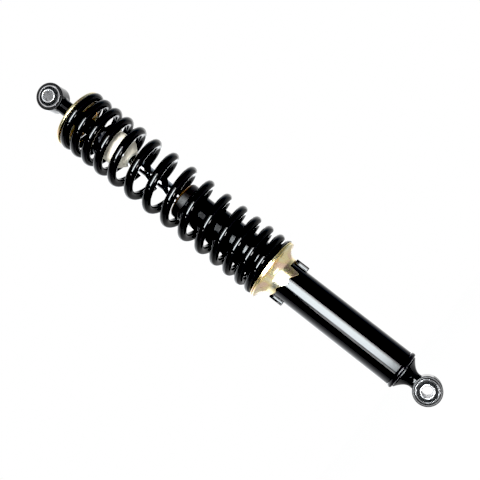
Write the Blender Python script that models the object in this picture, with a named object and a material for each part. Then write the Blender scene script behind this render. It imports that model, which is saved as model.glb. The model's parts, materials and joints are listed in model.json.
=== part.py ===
"""A coil-over rear shock absorber with rubber-bushed eyes, built piece by piece.

The origin is the centre of the lower eye. Z runs up the damper to the upper eye, and both bolt
bores run along Y. All sizes are in metres.
"""

import math

import bmesh
import bpy
from mathutils import Matrix

# Fits
TOUCH = 0.0003  # left between two pieces that bear on each other
SMOOTH_UNDER = math.radians(32)
ALONG_Y = Matrix.Rotation(-math.pi / 2, 4, "X")
BIG_ROUND, ROUND, SMALL_ROUND, NUT_ROUND = 40, 32, 24, 24  # sides of a turned piece

# Eyes and bushes
EYE_TO_EYE = 0.440
EYE_R = 0.01325
EYE_WIDTH = 0.0195
EYE_WALL = 0.0025
SHELL_WALL = 0.0009
SHELL_WIDTH = 0.0203
BOLT_R = 0.0051
SLEEVE_WALL = 0.0014
SLEEVE_LENGTH = 0.0255
RUBBER_WIDTH = 0.0212
GROOVE_DEPTH = 0.0016
CHAMFER = 0.0008

# Damper body
TUBE_R = 0.0173
TUBE_WALL = 0.0016
NECK_STEP = 0.0015  # the tube is this much slimmer inside the spring
NECK_Z = 0.238
NECK_LENGTH = 0.004
CAP_Z = 0.0263
BEAD_HEIGHT = 0.004
BEAD_OVER = 0.0011
SPIGOT_HEIGHT = 0.0055
PEDESTAL_INSET = 0.0015
PEDESTAL_EDGE = 0.0011
PEDESTAL_WAIST_R = 0.0090
PEDESTAL_WAIST_Z = 0.0193
PEDESTAL_NECK_R = 0.0070
PEDESTAL_NECK_Z = 0.0150
CYLINDER_R = 0.0110
CYLINDER_WALL = 0.0014
FOOT_HEIGHT = 0.005
GUIDE_HEIGHT = 0.010
BUSH_WALL = 0.0012
SEAL_HEIGHT = 0.0036
TOP_RIM_Z = 0.2785
TOP_SKIRT_WALL = 0.0016
TOP_SKIRT = 0.009
TOP_PLATE = 0.0022
WIPER_R = 0.0092
WIPER_HEIGHT = 0.0016

# Rod, piston and bump stop
ROD_R = 0.00625
THREAD_R = 0.0050
THREAD_LENGTH = 0.028
PISTON_Z = 0.237
PISTON_HEIGHT = 0.009
PISTON_PLAY = 0.0002
BAND_DEPTH = 0.0010
BAND_HEIGHT = 0.005
SHIM_HEIGHT = 0.0012
SPIGOT_R = 0.0045
NUT_HEIGHT = 0.0075
REBOUND_HEIGHT = 0.007
REBOUND_R = 0.0092
LOCK_NUT_HEIGHT = 0.008
LOCK_NUT_FLATS = 0.019
BUMP_R = 0.01575
BUMP_LENGTH = 0.031
BUMP_TIP_R = 0.0088
BUMP_TAPER = 0.0085
BUMP_GROOVE = 0.0009
BUMP_GROOVE_DROP = 0.0065  # from the top of the bump stop to its groove
CUP_R = 0.0172
CUP_HEIGHT = 0.0034
CUP_SKIRT = 0.004

# Spring and its seats
SPRING_R = 0.0305
WIRE_R = 0.0043
SPRING_BOTTOM = 0.1741
SPRING_BELOW_EYE = 0.0347
END_DROP = 0.0012  # from the spring's top to the wire's centre where the top coil closes
END_RISE = 0.0040
TOP_GROUND_TURNS = 0.5
BOTTOM_GROUND_TURNS = 0.75
ACTIVE_TURNS = 13.5
COIL_GAP = 0.0005  # between the closed end coils
# how far the coils open, in shares, by turns counted down: tight, then wide, then middling
OPENING = (
    (0.0, 0.0), (1.0, 3.4), (2.2, 5.1), (3.4, 6.4), (4.8, 11.1), (6.0, 13.0), (7.4, 12.2),
    (8.6, 11.4), (9.6, 9.2), (11.0, 5.7), (12.6, 3.9), (13.5, 0.0),
)
SEAT_INSET = 0.0010  # the seats are this much smaller than the spring
SEAT_THICK = 0.0025
SEAT_RING = 0.005
STEM_LENGTH = 0.0559
STEM_R = 0.0075
STEM_SHOULDER_R = 0.0098
STEM_SHOULDER = 0.0022
WASHER_THICK = 0.0010

# Preload collar and its stops
FLANGE_THICK = 0.0017
COLLAR_WALL = 0.0019
COLLAR_FIT = 0.00035
FLARE = 0.0095
LUG_TOP = 0.1594
LUG_HEIGHT = 0.0136
LUG_REACH = 0.0040
LUG_HALF_ANGLE = math.radians(5.8)
SLOT_PLAY = 0.0003
# depth of the collar's lower edge below the slot floor, by degrees turned from a stop lug
CAM_EDGE = (
    (-47, 0.0006), (-45, 0.0), (15, 0.0), (19, 0.0005), (22, 0.0017), (44, 0.0040),
    (47, 0.0043), (50, 0.0040), (55, 0.0030), (58, 0.0028), (62, 0.0032), (86, 0.0085),
    (89, 0.0090), (92, 0.0087), (98, 0.0072), (101, 0.0069), (105, 0.0072), (126, 0.0110),
    (129, 0.0112), (131.5, 0.0106),
)

# Sizes that follow from those above
NECKED_R = TUBE_R - NECK_STEP
TOP_RIM_R = NECKED_R + TOUCH + TOP_SKIRT_WALL
TUBE_FOOT = CAP_Z + BEAD_HEIGHT + TOUCH
TUBE_TOP = TOP_RIM_Z - TOP_PLATE - TOUCH
CYLINDER_FOOT = TUBE_FOOT + SPIGOT_HEIGHT + FOOT_HEIGHT + TOUCH
CYLINDER_TOP = TUBE_TOP - SEAL_HEIGHT - GUIDE_HEIGHT - 2 * TOUCH
SPRING_TOP = EYE_TO_EYE - SPRING_BELOW_EYE
SEAT_R = SPRING_R - SEAT_INSET
FLANGE_TOP = SPRING_BOTTOM - 2 * TOUCH - WASHER_THICK
STEM_FOOT = EYE_TO_EYE - STEM_LENGTH
ROD_SHOULDER_Z = STEM_FOOT - LOCK_NUT_HEIGHT - CUP_HEIGHT - 3 * TOUCH
THREAD_TOP = ROD_SHOULDER_Z + THREAD_LENGTH


def clear_scene():
    for obj in list(bpy.data.objects):
        bpy.data.objects.remove(obj, do_unlink=True)


def make_finish(name, colour, roughness, metallic):
    finish = bpy.data.materials.new(name)
    finish.use_nodes = True
    shader = finish.node_tree.nodes["Principled BSDF"]
    shader.inputs["Base Color"].default_value = (*colour, 1)
    shader.inputs["Roughness"].default_value = roughness
    shader.inputs["Metallic"].default_value = metallic
    finish.diffuse_color = (*colour, 1)
    return finish


def revolve(outline, steps, shaped=None):
    """A closed outline of (radius, height) points turned about Z."""
    bm = bmesh.new()
    rings = []
    for radius, height in outline:
        if radius == 0:
            rings.append([bm.verts.new((0, 0, height))] * steps)
            continue
        circle = []
        for i in range(steps):
            turn = 2 * math.pi * i / steps
            reach = shaped(radius, turn) if shaped else radius
            spot = (reach * math.cos(turn), reach * math.sin(turn), height)
            circle.append(bm.verts.new(spot))
        rings.append(circle)
    join_rings(bm, rings)
    return bm


def join_rings(bm, rings):
    steps = len(rings[0])
    for here, after in zip(rings, rings[1:] + rings[:1]):
        for i in range(steps):
            j = (i + 1) % steps
            corners = list(dict.fromkeys((here[i], here[j], after[j], after[i])))
            if len(corners) > 2:
                bm.faces.new(corners)
    bmesh.ops.recalc_face_normals(bm, faces=bm.faces)


def add_piece(name, bm, finish, place=None, height=0.0):
    if place:
        bmesh.ops.transform(bm, matrix=place, verts=bm.verts)
    mesh = bpy.data.meshes.new(name)
    bm.to_mesh(mesh)
    bm.free()
    mesh.shade_smooth()
    mesh.set_sharp_from_angle(angle=SMOOTH_UNDER)
    if finish:
        mesh.materials.append(finish)
    obj = bpy.data.objects.new(name, mesh)
    obj.location.z = height
    bpy.context.scene.collection.objects.link(obj)
    return obj


def helper(name, bm, place=None, height=0.0):
    obj = add_piece(name, bm, None, place, height)
    obj.hide_render = True
    obj.display_type = "WIRE"
    return obj


def combine(obj, other, operation):
    step = obj.modifiers.new(other.name, "BOOLEAN")
    step.operation = operation
    step.solver = "EXACT"
    step.object = other


def ring(inner, outer, low, high, edge=0.0):
    """A ring's outline, with its outer edges chamfered."""
    if not edge:
        return [(inner, low), (outer, low), (outer, high), (inner, high)]
    return [
        (inner, low), (outer - edge, low), (outer, low + edge),
        (outer, high - edge), (outer - edge, high), (inner, high),
    ]


def disc(radius, low, high, edge=0.0):
    return ring(0.0, radius, low, high, edge)


def hexagon(flats):
    """Turns a nut's outer radius into its hexagon, and leaves its bore round."""
    def shaped(radius, turn):
        if radius < flats / 2 - TOUCH:
            return radius
        return flats / 2 / math.cos((turn + math.pi / 6) % (math.pi / 3) - math.pi / 6)
    return shaped


def add_bush(end, height, steel, rubber, zinc):
    """The steel shell, rubber and sleeve of one eye."""
    shell_r = EYE_R - EYE_WALL - TOUCH
    rubber_r = shell_r - SHELL_WALL - TOUCH
    sleeve_r = BOLT_R + SLEEVE_WALL
    half = SHELL_WIDTH / 2
    shell = revolve(ring(shell_r - SHELL_WALL, shell_r, -half, half), SMALL_ROUND)
    add_piece(end + "_bush_shell", shell, steel, ALONG_Y, height)
    half = RUBBER_WIDTH / 2
    inner = sleeve_r + TOUCH
    middle = (inner + rubber_r) / 2
    outline = [
        (inner, -half), (middle, GROOVE_DEPTH - half), (rubber_r, -half),
        (rubber_r, half), (middle, half - GROOVE_DEPTH), (inner, half),
    ]
    add_piece(end + "_bush_rubber", revolve(outline, SMALL_ROUND), rubber, ALONG_Y, height)
    half = SLEEVE_LENGTH / 2
    sleeve = revolve(ring(BOLT_R, sleeve_r, -half, half, SLEEVE_WALL / 4), SMALL_ROUND)
    add_piece(end + "_bush_sleeve", sleeve, zinc, ALONG_Y, height)


def eye_bore(name, height):
    bore = revolve(disc(EYE_R - EYE_WALL, -EYE_WIDTH, EYE_WIDTH), ROUND)
    return helper(name, bore, ALONG_Y, height)


def eye_barrel():
    return revolve(disc(EYE_R, -EYE_WIDTH / 2, EYE_WIDTH / 2, CHAMFER), ROUND)


def add_lower_eye(paint):
    eye = add_piece("lower_eye", eye_barrel(), paint, ALONG_Y)
    top = CAP_Z - TOUCH
    wide = TUBE_R - PEDESTAL_INSET
    outline = [
        (0, EYE_R / 2), (PEDESTAL_NECK_R, EYE_R / 2), (PEDESTAL_NECK_R, PEDESTAL_NECK_Z),
        (PEDESTAL_WAIST_R, PEDESTAL_WAIST_Z), (wide, top - PEDESTAL_EDGE), (wide, top), (0, top),
    ]
    pedestal = helper("pedestal", revolve(outline, ROUND))
    combine(eye, pedestal, "UNION")
    combine(eye, eye_bore("lower_eye_bore", 0), "DIFFERENCE")


def add_upper_eye(paint):
    """The eye and its stem, which passes through the spring seat and takes the rod's thread."""
    eye = add_piece("upper_eye", eye_barrel(), paint, ALONG_Y, EYE_TO_EYE)
    bore = THREAD_R + TOUCH
    shoulder = SPRING_TOP + TOUCH + SEAT_THICK + TOUCH
    outline = [
        (bore, STEM_FOOT), (STEM_R, STEM_FOOT), (STEM_R, shoulder),
        (STEM_SHOULDER_R, shoulder), (STEM_SHOULDER_R, shoulder + STEM_SHOULDER),
        (STEM_R, shoulder + STEM_SHOULDER), (STEM_R, EYE_TO_EYE - EYE_R / 2),
        (0, EYE_TO_EYE - EYE_R / 2), (0, THREAD_TOP + TOUCH), (bore, THREAD_TOP + TOUCH),
    ]
    combine(eye, helper("upper_stem", revolve(outline, SMALL_ROUND)), "UNION")
    combine(eye, eye_bore("upper_eye_bore", EYE_TO_EYE), "DIFFERENCE")


def add_damper_tube(paint):
    outline = [
        (TUBE_R - TUBE_WALL, TUBE_FOOT), (TUBE_R, TUBE_FOOT), (TUBE_R, NECK_Z),
        (NECKED_R, NECK_Z + NECK_LENGTH), (NECKED_R, TUBE_TOP),
        (NECKED_R - TUBE_WALL, TUBE_TOP), (NECKED_R - TUBE_WALL, NECK_Z + NECK_LENGTH),
        (TUBE_R - TUBE_WALL, NECK_Z),
    ]
    add_piece("damper_tube", revolve(outline, BIG_ROUND), paint)


def add_damper_ends(paint, steel):
    spigot_r = TUBE_R - TUBE_WALL - TOUCH
    top = CAP_Z + BEAD_HEIGHT
    edge = BEAD_HEIGHT / 4
    bead_r = TUBE_R + BEAD_OVER
    outline = [
        (0, CAP_Z), (bead_r - edge, CAP_Z), (bead_r, CAP_Z + edge), (bead_r, top - edge),
        (bead_r - edge, top), (spigot_r, top), (spigot_r, top + SPIGOT_HEIGHT),
        (0, top + SPIGOT_HEIGHT),
    ]
    add_piece("lower_end_cap", revolve(outline, BIG_ROUND), paint)
    skirt_r = NECKED_R + TOUCH
    low = TOP_RIM_Z - TOP_SKIRT
    hole = ROD_R + TOUCH * 4
    outline = [
        (hole, TOP_RIM_Z - TOP_PLATE), (skirt_r, TOP_RIM_Z - TOP_PLATE), (skirt_r, low),
        (TOP_RIM_R, low), (TOP_RIM_R, TOP_RIM_Z - edge), (TOP_RIM_R - edge, TOP_RIM_Z),
        (hole, TOP_RIM_Z),
    ]
    add_piece("top_cap", revolve(outline, BIG_ROUND), steel)


def add_damper_inside(steel, bronze, rubber):
    foot = CYLINDER_FOOT
    low = foot - TOUCH - FOOT_HEIGHT
    outer = CYLINDER_R + CYLINDER_WALL
    plug = CYLINDER_R - TOUCH
    outline = [
        (0, low), (outer, low), (outer, foot - TOUCH), (plug, foot - TOUCH),
        (plug, foot + FOOT_HEIGHT), (0, foot + FOOT_HEIGHT),
    ]
    add_piece("foot_valve_body", revolve(outline, SMALL_ROUND), steel)
    low = foot + FOOT_HEIGHT + TOUCH
    valve = revolve(disc(plug * 0.8, low, low + SHIM_HEIGHT), SMALL_ROUND)
    add_piece("foot_valve_disc", valve, steel)
    add_piece("inner_cylinder", revolve(ring(CYLINDER_R, outer, foot, CYLINDER_TOP), ROUND), steel)
    outer = NECKED_R - TUBE_WALL - TOUCH
    bush_r = ROD_R + TOUCH + BUSH_WALL
    low = CYLINDER_TOP + TOUCH
    high = low + GUIDE_HEIGHT
    guide = revolve(ring(bush_r + TOUCH, outer, low, high), ROUND)
    add_piece("rod_guide", guide, steel)
    add_piece("guide_bush", revolve(ring(ROD_R + TOUCH, bush_r, low, high), SMALL_ROUND), bronze)
    low = high + TOUCH
    seal = revolve(ring(ROD_R + TOUCH, outer, low, TUBE_TOP), ROUND)
    add_piece("oil_seal", seal, rubber)
    low = TOP_RIM_Z + TOUCH
    wiper = ring(ROD_R + TOUCH, WIPER_R, low, low + WIPER_HEIGHT, WIPER_HEIGHT / 3)
    add_piece("rod_wiper", revolve(wiper, SMALL_ROUND), rubber)


def add_stop_lugs(paint):
    inner = TUBE_R + TOUCH
    outer = TUBE_R + LUG_REACH
    edge = LUG_HALF_ANGLE / 4
    for name, middle in (("stop_lug_right", 0.0), ("stop_lug_left", math.pi)):
        bm = bmesh.new()
        outline = [(inner, -LUG_HALF_ANGLE), (inner, 0), (inner, LUG_HALF_ANGLE)]
        outline += [(outer - CHAMFER / 2, LUG_HALF_ANGLE), (outer, LUG_HALF_ANGLE - edge)]
        outline += [(outer, edge - LUG_HALF_ANGLE), (outer - CHAMFER / 2, -LUG_HALF_ANGLE)]
        ends = []
        for height in (LUG_TOP - LUG_HEIGHT, LUG_TOP):
            spots = [(r * math.cos(middle + a), r * math.sin(middle + a)) for r, a in outline]
            ends.append([bm.verts.new((x, y, height)) for x, y in spots])
        for i in range(len(outline)):
            bm.faces.new((ends[0][i - 1], ends[0][i], ends[1][i], ends[1][i - 1]))
        bm.faces.new(ends[0])
        bm.faces.new(ends[1])
        bmesh.ops.recalc_face_normals(bm, faces=bm.faces)
        add_piece(name, bm, paint)


def cam_depth(turn):
    """How far the collar's edge hangs below its slot floor, at degrees turned from a lug."""
    turn = (turn + 48) % 180 - 48
    marks = CAM_EDGE + ((CAM_EDGE[0][0] + 180, CAM_EDGE[0][1]),)
    if turn < marks[0][0]:
        turn += 180
    for (a, low), (b, high) in zip(marks, marks[1:]):
        if a <= turn <= b:
            return low + (high - low) * (turn - a) / (b - a)
    return marks[0][1]


def cam_columns():
    """The degrees at which the collar's outline is drawn: each mark, and points between."""
    marks = sorted({m % 180 for m, _ in CAM_EDGE} | {0, 8, 34, 72, 80, 113, 142, 152, 162, 172})
    return marks + [m + 180 for m in marks]


def add_collar(zinc):
    """The pressed collar: a stepped lower edge and a flare that carries the spring seat."""
    inner = TUBE_R + COLLAR_FIT
    outer = inner + COLLAR_WALL
    top = FLANGE_TOP
    waist = top - FLANGE_THICK - FLARE
    reach = SEAT_R - outer
    corners = [math.radians(d) for d in (0, 22, 45, 68, 90)]
    outside = [(SEAT_R - reach * math.cos(c), waist + FLARE * math.sin(c)) for c in corners]
    inside = [
        (SEAT_R - (reach + COLLAR_WALL) * math.cos(c), waist + (top - waist) * math.sin(c))
        for c in reversed(corners)
    ]
    bm = bmesh.new()
    columns = []
    for degrees in cam_columns():
        low = LUG_TOP + SLOT_PLAY - cam_depth(degrees)
        turn = math.radians(degrees)
        spots = [(inner, low), (outer, low), *outside, *inside]
        columns.append([
            bm.verts.new((r * math.cos(turn), r * math.sin(turn), z)) for r, z in spots
        ])
    for here, after in zip(columns, columns[1:] + columns[:1]):
        for i in range(len(here)):
            bm.faces.new((here[i - 1], here[i], after[i], after[i - 1]))
    bmesh.ops.recalc_face_normals(bm, faces=bm.faces)
    add_piece("preload_cam", bm, zinc)


def add_seats(zinc):
    low = FLANGE_TOP + TOUCH
    washer = revolve(ring(TUBE_R + COLLAR_FIT, SEAT_R, low, low + WASHER_THICK), BIG_ROUND)
    add_piece("spring_seat_washer", washer, zinc)
    low = SPRING_TOP + TOUCH
    ring_r = SPRING_R - 2 * WIRE_R - COLLAR_FIT
    outline = [
        (STEM_R + TOUCH, low), (ring_r - SEAT_THICK, low), (ring_r - SEAT_THICK, low - SEAT_RING),
        (ring_r, low - SEAT_RING), (ring_r, low), (SEAT_R, low), (SEAT_R, low + SEAT_THICK),
        (STEM_R + TOUCH, low + SEAT_THICK),
    ]
    add_piece("upper_spring_seat", revolve(outline, BIG_ROUND), zinc)


def opened(turns):
    """Shares of opening passed, from the top coil down to this turn."""
    passed = 0.0
    for (a, first), (b, last) in zip(OPENING, OPENING[1:]):
        span = min(turns, b) - a
        if span > 0:
            passed += span * (first + (last - first) * span / (2 * (b - a)))
    return passed


def coil_height(turns):
    """Height of the wire's centre, by turns counted down from +X at the top coil."""
    closed = 2 * WIRE_R + COIL_GAP
    drop = SPRING_TOP - END_DROP - SPRING_BOTTOM - END_RISE - closed * ACTIVE_TURNS
    open_so_far = drop * opened(turns) / opened(ACTIVE_TURNS)
    return SPRING_TOP - END_DROP - closed * turns - open_so_far


def add_spring(paint):
    """Right-handed round wire, with both end coils closed and ground flat."""
    per_turn, sides = 18, 8
    step = 0.01  # of a turn, each side of the spot where the slope is taken
    first = -TOP_GROUND_TURNS
    count = round((TOP_GROUND_TURNS + ACTIVE_TURNS + BOTTOM_GROUND_TURNS) * per_turn)
    bm = bmesh.new()
    middle = SPRING_R - WIRE_R
    sections = []
    for k in range(count + 1):
        turns = first + k / per_turn
        turn = -2 * math.pi * turns
        across = (math.cos(turn), math.sin(turn), 0.0)
        fall = coil_height(turns + step) - coil_height(turns - step)
        lean = math.atan2(fall / (2 * step), 2 * math.pi * middle)
        along = (math.sin(turn) * math.sin(lean), -math.cos(turn) * math.sin(lean))
        section = []
        for s in range(sides):
            a = 2 * math.pi * (s + 0.5) / sides
            out, up = WIRE_R * math.cos(a), WIRE_R * math.sin(a)
            section.append(bm.verts.new((
                (middle + out) * across[0] - up * along[0],
                (middle + out) * across[1] - up * along[1],
                coil_height(turns) + up * math.cos(lean),
            )))
        sections.append(section)
    for here, after in zip(sections, sections[1:]):
        for s in range(sides):
            bm.faces.new((here[s - 1], here[s], after[s], after[s - 1]))
    bm.faces.new(sections[0])
    bm.faces.new(sections[-1])
    bmesh.ops.recalc_face_normals(bm, faces=bm.faces)
    spring = add_piece("main_spring", bm, paint)
    ground = revolve(disc(SPRING_R * 1.5, SPRING_BOTTOM, SPRING_TOP), 12)
    combine(spring, helper("spring_length", ground), "INTERSECT")


def add_rod(chrome, steel):
    low = PISTON_Z - SHIM_HEIGHT - 2 * TOUCH - NUT_HEIGHT
    step = PISTON_Z + PISTON_HEIGHT + TOUCH
    outline = [
        (0, low), (SPIGOT_R, low), (SPIGOT_R, step), (ROD_R, step),
        (ROD_R, ROD_SHOULDER_Z), (THREAD_R, ROD_SHOULDER_Z), (THREAD_R, THREAD_TOP),
        (0, THREAD_TOP),
    ]
    add_piece("piston_rod", revolve(outline, SMALL_ROUND), chrome)
    low = step + TOUCH * 2
    stop = revolve(ring(ROD_R + TOUCH, REBOUND_R, low, low + REBOUND_HEIGHT, CHAMFER), SMALL_ROUND)
    add_piece("rebound_stop", stop, steel)


def add_piston(steel, bronze):
    hole = SPIGOT_R + TOUCH
    outer = CYLINDER_R - PISTON_PLAY - TOUCH
    top = PISTON_Z + PISTON_HEIGHT
    low = PISTON_Z + (PISTON_HEIGHT - BAND_HEIGHT) / 2
    high = low + BAND_HEIGHT
    outline = [
        (hole, PISTON_Z), (outer, PISTON_Z), (outer, low), (outer - BAND_DEPTH, low),
        (outer - BAND_DEPTH, high), (outer, high), (outer, top), (hole, top),
    ]
    add_piece("piston", revolve(outline, SMALL_ROUND), steel)
    band = ring(outer - BAND_DEPTH + TOUCH, CYLINDER_R - PISTON_PLAY, low + TOUCH, high - TOUCH)
    add_piece("piston_band", revolve(band, SMALL_ROUND), bronze)
    high = PISTON_Z - TOUCH
    low = high - SHIM_HEIGHT
    add_piece("valve_shims", revolve(ring(hole, outer * 0.82, low, high), SMALL_ROUND), steel)
    high = low - TOUCH
    nut = ring(hole, REBOUND_R, high - NUT_HEIGHT, high)
    add_piece("piston_nut", revolve(nut, NUT_ROUND, hexagon(2 * REBOUND_R)), steel)


def add_bump_stop(foam, steel):
    top = ROD_SHOULDER_Z
    low = top - BUMP_LENGTH
    hole = ROD_R + TOUCH
    groove = top - BUMP_GROOVE_DROP
    outline = [
        (hole, low), (BUMP_TIP_R, low), (BUMP_R - CHAMFER, low + BUMP_TAPER * 0.82),
        (BUMP_R, low + BUMP_TAPER), (BUMP_R, groove - 2 * BUMP_GROOVE),
        (BUMP_R - BUMP_GROOVE, groove), (BUMP_R, groove + 2 * BUMP_GROOVE), (BUMP_R, top),
        (hole, top),
    ]
    add_piece("bump_stop", revolve(outline, ROUND), foam)
    low = top + TOUCH
    high = low + CUP_HEIGHT
    wall = CUP_R - BUMP_R - TOUCH
    outline = [
        (THREAD_R + TOUCH, low), (CUP_R - wall, low), (CUP_R - wall, low - CUP_SKIRT),
        (CUP_R, low - CUP_SKIRT), (CUP_R, high - wall), (CUP_R - wall, high),
        (THREAD_R + TOUCH, high),
    ]
    add_piece("bump_stop_cup", revolve(outline, ROUND), steel)
    low = high + TOUCH
    nut = ring(THREAD_R + TOUCH, LOCK_NUT_FLATS / 2, low, low + LOCK_NUT_HEIGHT)
    add_piece("lock_nut", revolve(nut, NUT_ROUND, hexagon(LOCK_NUT_FLATS)), steel)


def main():
    clear_scene()
    black = make_finish("black_gloss_paint", (0.008, 0.008, 0.009), 0.12, 0.0)
    forged = make_finish("black_painted_forging", (0.012, 0.012, 0.013), 0.35, 0.0)
    yellow = make_finish("yellow_zinc", (0.75, 0.55, 0.20), 0.28, 1.0)
    zinc = make_finish("clear_zinc", (0.72, 0.74, 0.76), 0.25, 1.0)
    steel = make_finish("machined_steel", (0.42, 0.42, 0.43), 0.35, 1.0)
    chrome = make_finish("hard_chrome", (0.80, 0.81, 0.83), 0.05, 1.0)
    bronze = make_finish("sintered_bronze", (0.45, 0.28, 0.12), 0.45, 1.0)
    rubber = make_finish("black_rubber", (0.015, 0.015, 0.015), 0.65, 0.0)
    foam = make_finish("cream_foam", (0.72, 0.68, 0.55), 0.75, 0.0)
    dark_rim = make_finish("brown_black_steel", (0.05, 0.035, 0.022), 0.35, 0.6)
    add_lower_eye(forged)
    add_bush("lower", 0.0, steel, rubber, zinc)
    add_damper_ends(black, dark_rim)
    add_damper_tube(black)
    add_damper_inside(steel, bronze, rubber)
    add_stop_lugs(forged)
    add_collar(yellow)
    add_seats(yellow)
    add_spring(black)
    add_rod(chrome, steel)
    add_piston(steel, bronze)
    add_bump_stop(foam, steel)
    add_upper_eye(forged)
    add_bush("upper", EYE_TO_EYE, steel, rubber, zinc)


main()
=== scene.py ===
"""Fine surfaces, finishes, studio light and camera for a coil-over rear shock."""

import json
import math

import bmesh
import bpy
import numpy as np
from mathutils import Matrix, Vector


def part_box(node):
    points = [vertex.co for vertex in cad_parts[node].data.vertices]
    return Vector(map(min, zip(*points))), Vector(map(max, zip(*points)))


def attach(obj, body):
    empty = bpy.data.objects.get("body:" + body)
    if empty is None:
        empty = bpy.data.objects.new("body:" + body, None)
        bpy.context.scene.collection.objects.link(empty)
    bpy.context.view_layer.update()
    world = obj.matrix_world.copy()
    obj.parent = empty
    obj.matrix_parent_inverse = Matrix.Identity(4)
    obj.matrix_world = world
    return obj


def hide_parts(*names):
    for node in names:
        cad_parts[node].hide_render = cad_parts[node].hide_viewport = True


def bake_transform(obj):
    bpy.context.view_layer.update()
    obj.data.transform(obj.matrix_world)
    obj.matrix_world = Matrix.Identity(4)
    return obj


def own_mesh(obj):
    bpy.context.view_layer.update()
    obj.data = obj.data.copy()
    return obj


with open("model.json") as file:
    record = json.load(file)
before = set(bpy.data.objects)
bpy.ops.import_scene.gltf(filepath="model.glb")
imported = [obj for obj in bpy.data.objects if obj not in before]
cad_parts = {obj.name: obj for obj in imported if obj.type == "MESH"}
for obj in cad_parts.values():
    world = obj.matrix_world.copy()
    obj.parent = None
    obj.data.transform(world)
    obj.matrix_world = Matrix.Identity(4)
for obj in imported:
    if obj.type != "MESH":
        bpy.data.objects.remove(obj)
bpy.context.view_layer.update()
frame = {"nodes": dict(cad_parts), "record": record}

MM = 0.001
TOUCH = 0.3 * MM  # left between two pieces that bear on each other
SLIVER = 0.002 * MM  # faces thinner than this are taken out of a carved piece
AROUND = 144  # sides of a large turned piece
SMOOTH_UNDER = math.radians(38)
ALONG_Y = Matrix.Rotation(-math.pi / 2, 4, "X")

BOLT_BORE_R = 5.1 * MM
THREAD_HOLE_R = 5.3 * MM
ROD_HOLE_R = 6.55 * MM
COLLAR_GAP = 0.35 * MM  # between the tube and what slides over it
TUBE_WALL = 1.6 * MM
CUP_PLATE = 3.4 * MM  # top plate of the bump stop's cup


# Shader plumbing


class Signal:
    """A node's output that plain arithmetic works on."""

    def __init__(self, finish, socket):
        self.finish = finish
        self.socket = socket

    def _math(self, operation, *values):
        return self.finish.node("ShaderNodeMath", {"operation": operation}, dict(enumerate(values)))

    def __add__(self, other):
        return self._math("ADD", self, other)

    def __sub__(self, other):
        return self._math("SUBTRACT", self, other)

    def __rsub__(self, other):
        return self._math("SUBTRACT", other, self)

    def __mul__(self, other):
        return self._math("MULTIPLY", self, other)

    def __pow__(self, other):
        return self._math("POWER", self, other)

    __radd__ = __add__
    __rmul__ = __mul__

    def rising(self, low, high):
        """0 below low, 1 above high, smooth between; low above high makes it fall."""
        return self.finish.node(
            "ShaderNodeMapRange", {"interpolation_type": "SMOOTHSTEP"},
            {"Value": self, "From Min": low, "From Max": high},
        )


class Graph:
    """A node tree, with every node made by one method."""

    def __init__(self, owner):
        owner.use_nodes = True
        self.tree = owner.node_tree

    def node(self, kind, settings=None, sockets=None, output=0):
        made = self.tree.nodes.new(kind)
        for setting, value in (settings or {}).items():
            if setting == "stops":
                self._set_stops(made.color_ramp, value)
            else:
                setattr(made, setting, value)
        for socket, value in (sockets or {}).items():
            self._feed(made.inputs[socket], value)
        return None if output is None else Signal(self, made.outputs[output])

    def _set_stops(self, ramp, stops):
        while len(ramp.elements) < len(stops):
            ramp.elements.new(1.0)
        for element, (position, colour) in zip(ramp.elements, stops):
            element.position = position
            element.color = (*colour, 1)

    def _feed(self, socket, value):
        if isinstance(value, Signal):
            self.tree.links.new(value.socket, socket)
        elif socket.type == "RGBA":
            socket.default_value = (*value, 1)
        else:
            socket.default_value = value

    def separated(self, vector, number):
        return self.node("ShaderNodeSeparateXYZ", None, {0: vector}, number)


class Finish(Graph):
    """A material's graph, with its Principled shader and the usual textures."""

    def __init__(self, name):
        self.material = bpy.data.materials.new(name)
        super().__init__(self.material)
        self.shader = self.tree.nodes["Principled BSDF"]
        self.place = self.node("ShaderNodeTexCoord", output="Object")

    def surface(self, **sockets):
        for name, value in sockets.items():
            socket = name.replace("_", " ").title().replace("Ior", "IOR")
            self._feed(self.shader.inputs[socket], value)
        return self.material

    def axis(self, number):
        return self.separated(self.place, number)

    def radius(self):
        """Distance from the piece's own Z axis."""
        return (self.axis(0) ** 2 + self.axis(1) ** 2) ** 0.5

    def noise(self, per_metre, detail=2.0, stretch=(1, 1, 1), twist=0.0):
        size = tuple(per_metre * s for s in stretch)
        where = self.node("ShaderNodeVectorMath", {"operation": "MULTIPLY"}, {0: self.place, 1: size})
        return self.node(
            "ShaderNodeTexNoise", None,
            {"Vector": where, "Scale": 1.0, "Detail": detail, "Distortion": twist},
        )

    def mix(self, share, first, second):
        return self.node("ShaderNodeMix", {"data_type": "RGBA"}, {0: share, 6: first, 7: second}, 2)

    def bump(self, height, depth, strength=1.0):
        return self.node(
            "ShaderNodeBump", None, {"Strength": strength, "Distance": depth, "Height": height}
        )


# Finishes


def black_spring_paint():
    """Powder coat on the wire: deep black, with faint peel, dust and rubbed spots."""
    paint = Finish("black_spring_paint")
    cloud = paint.noise(90, 3)
    peel = paint.noise(700)
    dust = paint.noise(2300, 3).rising(0.66, 0.74)
    rub = paint.noise(160, 5).rising(0.64, 0.72)
    colour = paint.mix(cloud, (0.0012, 0.0012, 0.0015), (0.003, 0.003, 0.0035))
    colour = paint.mix(dust * 0.35, colour, (0.05, 0.05, 0.05))
    return paint.surface(
        base_color=colour, roughness=0.03 + 0.03 * cloud + 0.20 * dust + 0.06 * rub,
        specular_ior_level=0.45, normal=paint.bump(peel, 0.015 * MM, 0.4),
    )


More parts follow.
